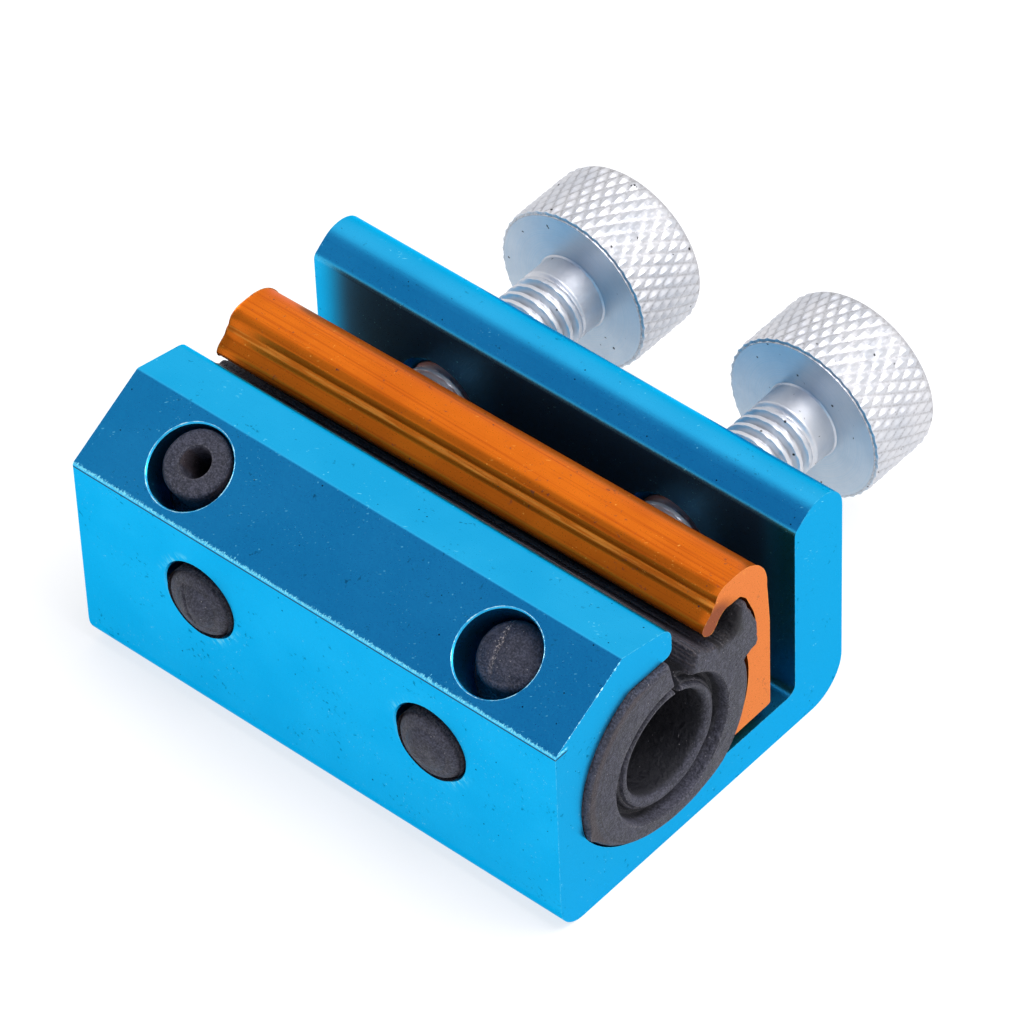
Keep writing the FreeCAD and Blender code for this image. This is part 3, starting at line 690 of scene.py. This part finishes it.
def make_sleeve_blank():
    """A C-shaped section lofted through rings from end to end, with a plain bore."""
    outer = sleeve_outline()
    centre = Vector(BORE_CENTRE)
    slit_points, bore_points, middle = 7, 72, 46
    half = sleeve_end_x
    rings = [(half - depth * MM, inset) for depth, inset in OUTER_EDGE]
    first = rings[-1][0]
    rings += [(first * (1 - 2 * i / middle), 0.0) for i in range(1, middle)]
    rings += [(-x, inset) for x, inset in reversed(rings[:len(OUTER_EDGE)])]
    start = slit_end(centre, BORE_RADIUS, SLIT[1])
    finish = slit_end(centre, BORE_RADIUS, SLIT[0])
    from_angle = math.degrees(math.atan2(start.y - centre.y, start.x - centre.x))
    to_angle = math.degrees(math.atan2(finish.y - centre.y, finish.x - centre.x)) - 360
    bore = [Vector(spot) for spot in arc(centre, BORE_RADIUS, from_angle, to_angle, bore_points)]

    # the lowest front corner stays sharp right to the end face
    cusp = min(outer, key=lambda spot: spot.x + abs(spot.y - CUSP_Z) * 5)
    points = []
    for x, inset in rings:
        ring = []
        for k, spot in enumerate(outer):
            run = outer[min(k + 1, len(outer) - 1)] - outer[max(k - 1, 0)]
            near = math.exp(-((spot - cusp).length / 0.7) ** 2) if inset else 0.0
            ring.append(spot + Vector((-run.y, run.x)).normalized() * (inset - (inset + 0.12) * near))
        ring += [ring[-1].lerp(start, i / slit_points) for i in range(1, slit_points)]
        ring += bore
        ring += [finish.lerp(ring[0], i / slit_points) for i in range(1, slit_points)]
        for spot in ring:
            spot = rough_skin(x, follow_plate(x, spot))
            points.append((x, front(spot.x), spot.y * MM))
    count = len(points) // len(rings)
    faces = tube_faces(len(rings), count)
    return new_piece("sleeve", points, faces)


def tube_faces(rings, count):
    """Faces of a closed tube through rings of points, with a flat cap on each end."""
    faces = []
    for k in range(rings - 1):
        for i in range(count):
            j = (i + 1) % count
            a, b = k * count, (k + 1) * count
            faces.append((a + i, b + i, b + j, a + j))
    faces.append(tuple(range(count)))
    faces.append(tuple(range(rings * count - 1, (rings - 1) * count - 1, -1)))
    return faces


def slit_end(centre, radius, y):
    """Where the slit's wall at y meets the bore's circle."""
    across = y - centre.x
    return Vector((y, centre.y + math.sqrt(radius ** 2 - across ** 2)))


def make_mouth_cutter(name, side):
    """The stepped recess at one end of the bore; side is +1 for the near end and -1 for the far one."""
    def place(along, size, angle):
        share = min(max((size - BORE_RADIUS) / (5.0 - BORE_RADIUS), 0.0), 1.0)
        centre = Vector(BORE_CENTRE).lerp(Vector(MOUTH_CENTRE), share)
        spot = centre + Vector((math.cos(angle), math.sin(angle))) * size
        wave = 0.05 * noise.noise(Vector((spot.x * 0.5, spot.y * 0.5, side * 3.0)))
        return Vector((side * (sleeve_end_x - (along + wave) * MM), front(spot.x), spot.y * MM))
    return lathe(name, MOUTH, 120, place)


def nub_profile(radius, dome, edge, root):
    """(along, radius) from the nub's root to the middle of its domed face."""
    profile = [(-root, 0.0), (-root, radius * 0.5), (-root, radius)]
    profile += [(-root * (1 - i / 6), radius) for i in range(1, 6)]
    turn = 10
    for i in range(turn + 1):
        angle = math.pi / 2 * i / turn
        profile.append((-dome - edge + edge * math.sin(angle), radius - edge + edge * math.cos(angle)))
    flat = radius - edge
    count = max(6, round(flat / 0.11))
    for i in range(1, count + 1):
        r = flat * (1 - i / count)
        profile.append((-dome * (r / flat) ** 2.2, r))
    return profile


def make_nub(name, base, out, side, radius, dome, edge, root, crease=None, dimple=None):
    """A rubber nub that stands along out from base; crease is (from, to) on its face and dimple a depth."""
    up = out.cross(side).normalized()

    def place(along, size, angle):
        flat = Vector((size * math.cos(angle), size * math.sin(angle)))
        drop = 0.0
        if along > -dome - edge * 0.6:
            drop += 0.03 * noise.noise(Vector((flat.x * 1.1, flat.y * 1.1, base.x / MM)))
            if crease:
                drop -= 0.16 * math.exp(-(distance_to_run(flat, *crease) / 0.11) ** 2)
            if dimple:
                drop -= dimple * math.exp(-((flat.x - 0.2) ** 2 / 0.5 + (flat.y + 0.1) ** 2 / 1.3))
        return base + (side * flat.x + up * flat.y + out * (along + drop)) * MM
    return lathe(name, nub_profile(radius, dome, edge, root), 96, place)


def distance_to_run(spot, start, end):
    a, b = Vector(start), Vector(end)
    run = b - a
    share = min(max((spot - a).dot(run) / run.length_squared, 0.0), 1.0)
    wobble = 0.12 * math.sin(share * 7.0)
    nearest = a + run * share + Vector((-run.y, run.x)).normalized() * wobble
    return (spot - nearest).length


def front_nub_face(x):
    """The middle of a front nub's face, for the port at x."""
    return Vector(((x + FRONT_NUB_OFF) * MM, front(FRONT_NUB_FACE_Y), (SCREW_Z - FRONT_NUB_OFF) * MM))


def make_sleeve():
    """The sleeve with both mouths of its bore, its four nubs and the spray hole, from block to plate."""
    sleeve = make_sleeve_blank()
    combine(sleeve, "DIFFERENCE", make_mouth_cutter("near_mouth", 1), make_mouth_cutter("far_mouth", -1))
    ahead, right = Vector((0, -1, 0)), Vector((1, 0, 0))
    square = (on_slope(0, 0, 1) - on_slope(0, 0, 0)).normalized()
    nubs = [
        make_nub("nub_front_left", front_nub_face(-SCREW_SPREAD), ahead, right, FRONT_NUB_RADIUS,
                 FRONT_NUB_DOME, FRONT_NUB_EDGE, FRONT_NUB_ROOT, crease=((-1.1, 1.5), (1.1, -1.5))),
        make_nub("nub_front_right", front_nub_face(SCREW_SPREAD), ahead, right, FRONT_NUB_RADIUS,
                 FRONT_NUB_DOME, FRONT_NUB_EDGE, FRONT_NUB_ROOT, dimple=0.35),
        make_nub("nub_slope_left", on_slope(-SLOPE_PORT_X, SLOPE_NUB_ALONG, OPEN_NUB_OUT),
                 square, right, SLOPE_NUB_RADIUS, dome=0.12, edge=0.35, root=5.6),
        make_nub("nub_slope_right", on_slope(SLOPE_PORT_X, SLOPE_NUB_ALONG, CLOSED_NUB_OUT),
                 square, right, SLOPE_NUB_RADIUS, dome=0.35, edge=0.5, root=4.6,
                 crease=((-1.15, 1.2), (-0.45, -1.7))),
    ]
    combine(sleeve, "UNION", *nubs)
    combine(sleeve, "DIFFERENCE", make_straw_drill(square, right))
    smooth(sleeve, math.radians(38))
    repaint(sleeve, moulded_rubber())
    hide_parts("rubber_sleeve")
    front(STRETCH_START_Y)
    front(STRETCH_END_Y)
    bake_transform(sleeve)
    return sleeve


def make_straw_drill(square, right):
    """The spray hole: a soft countersink and a straight bore, down into the sleeve's bore."""
    base = on_slope(-SLOPE_PORT_X, SLOPE_NUB_ALONG, OPEN_NUB_OUT)
    radius = mounts["spray_port"]["dims"]["r_mm"]
    profile = [(0.6, 0.0), (0.6, radius + 0.3), (0.0, radius + 0.2), (-0.12, radius + 0.1),
               (-0.4, radius + 0.03), (-0.9, radius), (-9.8, radius), (-9.8, 0.0)]
    up = square.cross(right).normalized()

    def place(along, size, angle):
        return base + (right * (size * math.cos(angle)) + up * (size * math.sin(angle)) + square * along) * MM
    return lathe("straw_drill", profile, 64, place)


# ---------------------------------------------------------------- clamp plate

# The plate's own section: its back going up, the crown of its head, and the ridges down the head's front,
# round the nose and through the hook.
PLATE_BACK = [(22.35, 12.9), (22.1, 16.2)]
PLATE_CROWN = [(18.7, 20.0), (17.75, 19.99), (17.35, 19.9)]
PLATE_RIDGES = [
    (16.90, 19.62), (16.70, 19.20), (16.66, 19.04), (16.36, 18.80), (16.20, 18.44),
    (15.42, 17.82), (15.22, 17.45), (15.35, 17.0), (15.75, 16.7), (16.2, 16.6), (16.6, 16.95), (16.9, 17.4),
    (17.3, 17.72), (17.8, 17.88), (18.3, 17.8),
    (19.3, 17.75), (19.95, 17.05), (20.75, 15.1), (20.95, 14.2), (20.95, 12.2), (20.4, 11.6),
]


def plate_outline():
    """The plate's section with every corner a little rounded."""
    seat_top = height_angle(PLATE_SEAT_CENTRE, PLATE_SEAT_RADIUS, 11.6)
    seat_foot = height_angle(PLATE_SEAT_CENTRE, PLATE_SEAT_RADIUS, PLATE_FOOT_Z)
    seat = arc(PLATE_SEAT_CENTRE, PLATE_SEAT_RADIUS, seat_top, seat_foot, 24)
    foot = [(PLATE_BACK_Y, PLATE_FOOT_Z)]
    back_round = arc((18.95, 16.85), 3.14, -6, 92, 16)
    corners = [Vector(s) for s in (*seat, *foot, *PLATE_BACK, *back_round, *PLATE_CROWN, *PLATE_RIDGES)]
    spots = []
    for i, corner in enumerate(corners):
        before, after = corners[i - 1], corners[(i + 1) % len(corners)]
        back = min(PLATE_CORNER, (before - corner).length * 0.45)
        ahead = min(PLATE_CORNER, (after - corner).length * 0.45)
        a = corner + (before - corner).normalized() * back
        b = corner + (after - corner).normalized() * ahead
        for j in range(5):
            t = j / 4
            spots.append(a * (1 - t) ** 2 + corner * 2 * t * (1 - t) + b * t ** 2)
    return spots


def make_plate():
    """The plate as an extrusion whose ridges wander a little, with broken edges at its sawn ends."""
    outline = plate_outline()
    half, edge, middle = PLATE_HALF_LENGTH, 0.07, 60
    rings = [(half, edge), (half - edge * 0.35, edge * 0.35), (half - edge, 0.0)]
    rings += [((half - edge) * (1 - 2 * i / middle), 0.0) for i in range(1, middle)]
    rings += [(-x, inset) for x, inset in reversed(rings[:3])]
    points = []
    for x, inset in rings:
        for k, spot in enumerate(outline):
            run = outline[(k + 1) % len(outline)] - outline[k - 1]
            spot = spot + Vector((run.y, -run.x)).normalized() * inset
            wander = noise.noise_vector(Vector((x * 0.35, spot.x * 1.5, spot.y * 1.5))) * 0.012
            points.append(on_plate(x, spot.x + wander.y, spot.y + wander.z))
    plate = new_piece("clamp_plate_detailed", points, tube_faces(len(rings), len(outline)), math.radians(30))
    repaint(plate, orange_aluminium())
    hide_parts("clamp_plate")
    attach(plate, "plate")
    return plate


def on_plate(x, y, z):
    """A point of the plate's own section in the row frame, leant by the plate's yaw."""
    turned_x = x * math.cos(PLATE_YAW) - (y - PLATE_BACK_Y) * math.sin(PLATE_YAW)
    turned_y = x * math.sin(PLATE_YAW) + (y - PLATE_BACK_Y) * math.cos(PLATE_YAW) + PLATE_BACK_Y
    return Vector((turned_x * MM, front(turned_y - PLATE_ADVANCE), z * MM))


# ---------------------------------------------------------------- thumbscrews

def thread_radius(along, radius, angle, start, end):
    """Radius of a right-hand M6 thread with flats on its crests and roots, run out at both ends."""
    phase = (along / THREAD_PITCH - angle / (2 * math.pi)) % 1.0
    away = min(phase, 1 - phase)
    cut = min(max((away - 0.17) / 0.24, 0.0), 1.0)
    fade = min(max((end - along) / 0.9, 0.0), 1.0) * min(max((along - start) / 0.5, 0.25), 1.0)
    return radius - THREAD_DEPTH * cut * fade


def knurl_radius(along, radius, angle):
    """Diamond points between two crossing sets of grooves."""
    around = angle / (2 * math.pi) * KNURL_AROUND
    lengthwise = along / HEAD_LENGTH * KNURL_ALONG
    heights = []
    for wave in (around + lengthwise, around - lengthwise):
        share = wave % 1.0
        heights.append(1 - abs(2 * share - 1))
    height = min(min(heights) * 1.25, 1.0)
    return radius - KNURL_DEPTH * (1 - height)


def make_thumbscrew(name, node, body, x):
    """Threaded shank with a plain collar, and a knurled head with turned faces."""
    low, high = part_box(node)
    axis = Vector((x * MM, 0, SCREW_Z * MM))
    tip = (low.y - front(0)) / MM
    end = (high.y - front(0)) / MM
    head = end - HEAD_LENGTH

    def place(along, size, angle):
        return axis + Vector((size * MM * math.sin(angle), front(along), size * MM * math.cos(angle)))

    thread_end = head - COLLAR_LENGTH
    steps = round((thread_end - tip) * 16)
    shank = [(tip, 0.0), (tip, 1.3), (tip, 2.25), (tip + 0.12, 2.42)]
    shank += [(tip + 0.12 + (thread_end - tip) * i / steps, THREAD_RADIUS - 0.6 * max(0, 1 - i / 7))
              for i in range(1, steps + 1)]
    shank += [(thread_end + 0.25, THREAD_RADIUS), (head - 0.5, THREAD_RADIUS),
              (head - 0.12, THREAD_RADIUS + 0.02), (head, THREAD_RADIUS + 0.12),
              (head + 0.5, THREAD_RADIUS + 0.12), (head + 0.5, 0.0)]

    def threaded(along, radius, angle):
        if along > thread_end:
            return radius
        return thread_radius(along, radius, angle, tip, thread_end)
    piece = lathe(name, shank, 72, place, threaded)

    edge = HEAD_RADIUS - KNURL_DEPTH
    under = [(head, 0.0), (head, 2.0), (head, 3.6), (head, 5.2), (head, edge - 0.12), (head + 0.1, edge)]
    rows = KNURL_ALONG * 6
    knurl_length = HEAD_LENGTH - 0.16 - HEAD_ROUND
    side = [(head + 0.16 + knurl_length * i / rows, HEAD_RADIUS) for i in range(rows + 1)]
    turn = 9
    corner = [(end - HEAD_ROUND + HEAD_ROUND * math.sin(math.pi / 2 * i / turn),
               HEAD_RADIUS - HEAD_ROUND + HEAD_ROUND * math.cos(math.pi / 2 * i / turn))
              for i in range(1, turn + 1)]
    face = [(end, 5.4), (end - 0.04, 5.3), (end - 0.04, 4.9), (end, 4.8), (end, 2.6), (end, 1.2),
            (end - 0.12, 0.9), (end - 0.3, 0.5), (end - 0.35, 0.0)]

    def knurled(along, radius, angle):
        if along < head + 0.1 or radius < edge - 0.3:
            return radius
        fade = min(max((end - 0.35 - along) / 0.4, 0.0), 1.0)
        cut = radius - knurl_radius(along - head, radius, angle)
        start = min(max((along - head) / 0.3, 0.35), 1.0)
        return radius - cut * fade * start - KNURL_DEPTH * (1 - start) * 0.5
    knob = lathe(f"{name}_head", [*under, *side, *corner, *face], KNURL_AROUND * 8, place, knurled)
    combine(piece, "UNION", knob)
    smooth(piece, math.radians(30))
    repaint(piece, bright_zinc(x * MM))
    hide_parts(node)
    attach(piece, body)
    return piece


# ---------------------------------------------------------------- burrs round the ports

def make_burr(name, route, closed, thick, patchy, seed):
    """A torn bright lip of metal along an edge: a thin tube whose size wanders, or comes and goes.

    route is a list of (point, side, out): the edge's point in metres, and two directions square to it.
    """
    draw = random.Random(seed)
    shift = Vector((draw.uniform(0, 50), draw.uniform(0, 50), 0))
    across = 6
    points = []
    for i, (centre, side, out) in enumerate(route):
        spot = centre / MM + shift
        slow, quick = noise.noise(spot * 1.3), noise.noise(spot * 6.0)
        size = thick * (1.0 + 1.1 * slow + 0.9 * quick)
        if patchy:
            size = thick * max(0.12, 1.5 * quick + 0.8 * slow + 0.25)
        if not closed and i in (0, len(route) - 1):
            size *= 0.3
        for j in range(across):
            turn = 2 * math.pi * j / across
            ray = side * math.cos(turn) * 0.9 + out * math.sin(turn) * 0.7
            points.append(centre + ray * max(size, 0.008) * MM)
    if closed:
        faces = tube_faces(len(route), across)[:-2]
        last = (len(route) - 1) * across
        faces += [(last + j, j, (j + 1) % across, last + (j + 1) % across) for j in range(across)]
    else:
        faces = tube_faces(len(route), across)
    burr = new_piece(name, points, faces, math.radians(60))
    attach(burr, "block")
    return burr


def ring_route(centre, out, side, radius, count):
    up = out.cross(side).normalized()
    turns = [2 * math.pi * i / count for i in range(count)]
    rays = [side * math.cos(turn) + up * math.sin(turn) for turn in turns]
    return [(centre + ray * radius * MM, ray, out) for ray in rays]


def straight_route(start, end, side, out, count):
    return [(start.lerp(end, i / (count - 1)), side, out) for i in range(count)]


def bare_metal():
    """Freshly torn aluminium with a trace of the blue dye."""
    steps = Steps("bare_edge")
    place = steps.place()
    grain = steps.noise(place, 6000.0, 3.0, 0.7)
    patches = steps.noise(place, 1500.0, 2.0)
    colour = steps.between(steps.level(patches, 0.35, 0.65), (0.05, 0.45, 0.75), (0.50, 0.88, 0.96))
    steps.shade("Base Color", colour)
    steps.shade("Metallic", 0.35)
    steps.shade("Roughness", steps.level(grain, 0.3, 0.7, 0.25, 0.45))
    steps.bump(grain, 0.00002)
    return steps.material


def make_burrs():
    """Torn rims round the two spray ports, and a beaded burr down the slope's sawn end."""
    right = Vector((1, 0, 0))
    square = (on_slope(0, 0, 1) - on_slope(0, 0, 0)).normalized()
    metal = bare_metal()
    rim = 0.10
    for i, (name, x) in enumerate((("left", -SLOPE_PORT_X), ("right", SLOPE_PORT_X))):
        route = ring_route(on_slope(x, 0, 0), square, right, SLOPE_PORT_RADIUS + rim, 260)
        repaint(make_burr(f"burr_slope_{name}", route, True, 0.026, False, 3 + i), metal)
    end = block_high.x
    low = Vector((end, front(0.12), (FRONT_HEIGHT + 0.04) * MM))
    high = Vector((end, front(SLOPE_RUN - 0.1), (SLOPE_TOP - 0.07) * MM))
    route = straight_route(low, high, right * -1, square, 230)
    repaint(make_burr("burr_slope_end", route, False, 0.07, True, 11), metal)


# ---------------------------------------------------------------- the object

make_camera()
make_studio()
make_floor()
bpy.context.scene.view_settings.view_transform = "Standard"

repaint(frame["nodes"]["body_block"], blue_aluminium())
make_sleeve()
make_plate()
make_thumbscrew("thumbscrew_left_detailed", "thumbscrew_left", "left_screw", -SCREW_SPREAD)
make_thumbscrew("thumbscrew_right_detailed", "thumbscrew_right", "right_screw", SCREW_SPREAD)
make_burrs()
